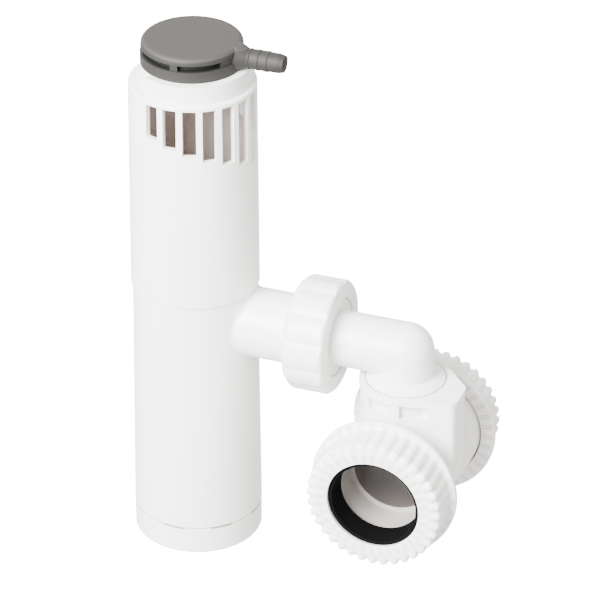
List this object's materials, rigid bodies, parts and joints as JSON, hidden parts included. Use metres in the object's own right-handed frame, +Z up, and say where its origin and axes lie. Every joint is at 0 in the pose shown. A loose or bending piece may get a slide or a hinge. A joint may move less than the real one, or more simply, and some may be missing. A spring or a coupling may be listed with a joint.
{
  "type": "sealed drain hopper",
  "caption": "Slotted tundish over a bottle trap, with a grey barbed inlet cap and a side outlet through a union and elbow into a waste-pipe tee with ribbed compression nuts.",
  "frame": {"origin": "centre of the base cap's underside", "axes": "+Z up along the column, +X along the outlet branch from the column to the tee, +Y along the waste pipe towards the rear nut"},
  "size_m": [0.1682, 0.0914, 0.2577],
  "materials": {
    "white_plastic": "smooth moulded",
    "grey_plastic": "fine matte moulded",
    "inner_plastic": "smooth moulded",
    "pale_grey_plastic": "smooth moulded",
    "black_rubber": "matte"
  },
  "bodies": {
    "tee": {"tee_body": "white_plastic", "snap_ring": "white_plastic", "front_seal": "black_rubber", "rear_seal": "black_rubber"},
    "elbow": {"outlet_elbow": "white_plastic", "elbow_seal": "black_rubber"},
    "hopper": {"trap_body": "white_plastic", "base_seal": "black_rubber", "window_sleeve": "white_plastic", "sleeve_seal": "black_rubber", "hopper_funnel": "inner_plastic", "dip_tube": "inner_plastic", "union_washer": "black_rubber"},
    "union": {"union_nut": "white_plastic", "union_slip_ring": "white_plastic"},
    "base": {"base_cap": "white_plastic"},
    "inlet": {"inlet_cap": "grey_plastic", "cap_seal": "black_rubber"},
    "front": {"front_nut": "white_plastic", "front_slip_ring": "pale_grey_plastic"},
    "rear": {"rear_nut": "white_plastic", "rear_slip_ring": "pale_grey_plastic"}
  },
  "joints": [
    {"name": "elbow_turn", "type": "hinge", "parent": "tee", "child": "elbow", "pos_m": [0.1031, 0, 0.1016], "axis": [0, 0, 1], "range_deg": [-50, 50]},
    {"name": "hopper_turn", "type": "hinge", "parent": "elbow", "child": "hopper", "pos_m": [0.0545, 0, 0.1158], "axis": [1, 0, 0], "range_deg": [-90, 90]},
    {"name": "union_nut_turn", "type": "hinge", "parent": "hopper", "child": "union", "pos_m": [0.0609, 0, 0.1158], "axis": [1, 0, 0], "range_deg": [-180, 180]},
    {"name": "base_cap_turn", "type": "hinge", "parent": "hopper", "child": "base", "pos_m": [0, 0, 0.007], "axis": [0, 0, 1], "range_deg": [-180, 180]},
    {"name": "inlet_cap_turn", "type": "hinge", "parent": "hopper", "child": "inlet", "pos_m": [0, 0, 0.2464], "axis": [0, 0, 1], "range_deg": [-180, 180]},
    {"name": "front_nut_turn", "type": "hinge", "parent": "tee", "child": "front", "pos_m": [0.1031, -0.0369, 0.0588], "axis": [0, 1, 0], "range_deg": [-180, 180]},
    {"name": "rear_nut_turn", "type": "hinge", "parent": "tee", "child": "rear", "pos_m": [0.1031, 0.0369, 0.0588], "axis": [0, 1, 0], "range_deg": [-180, 180]}
  ]
}
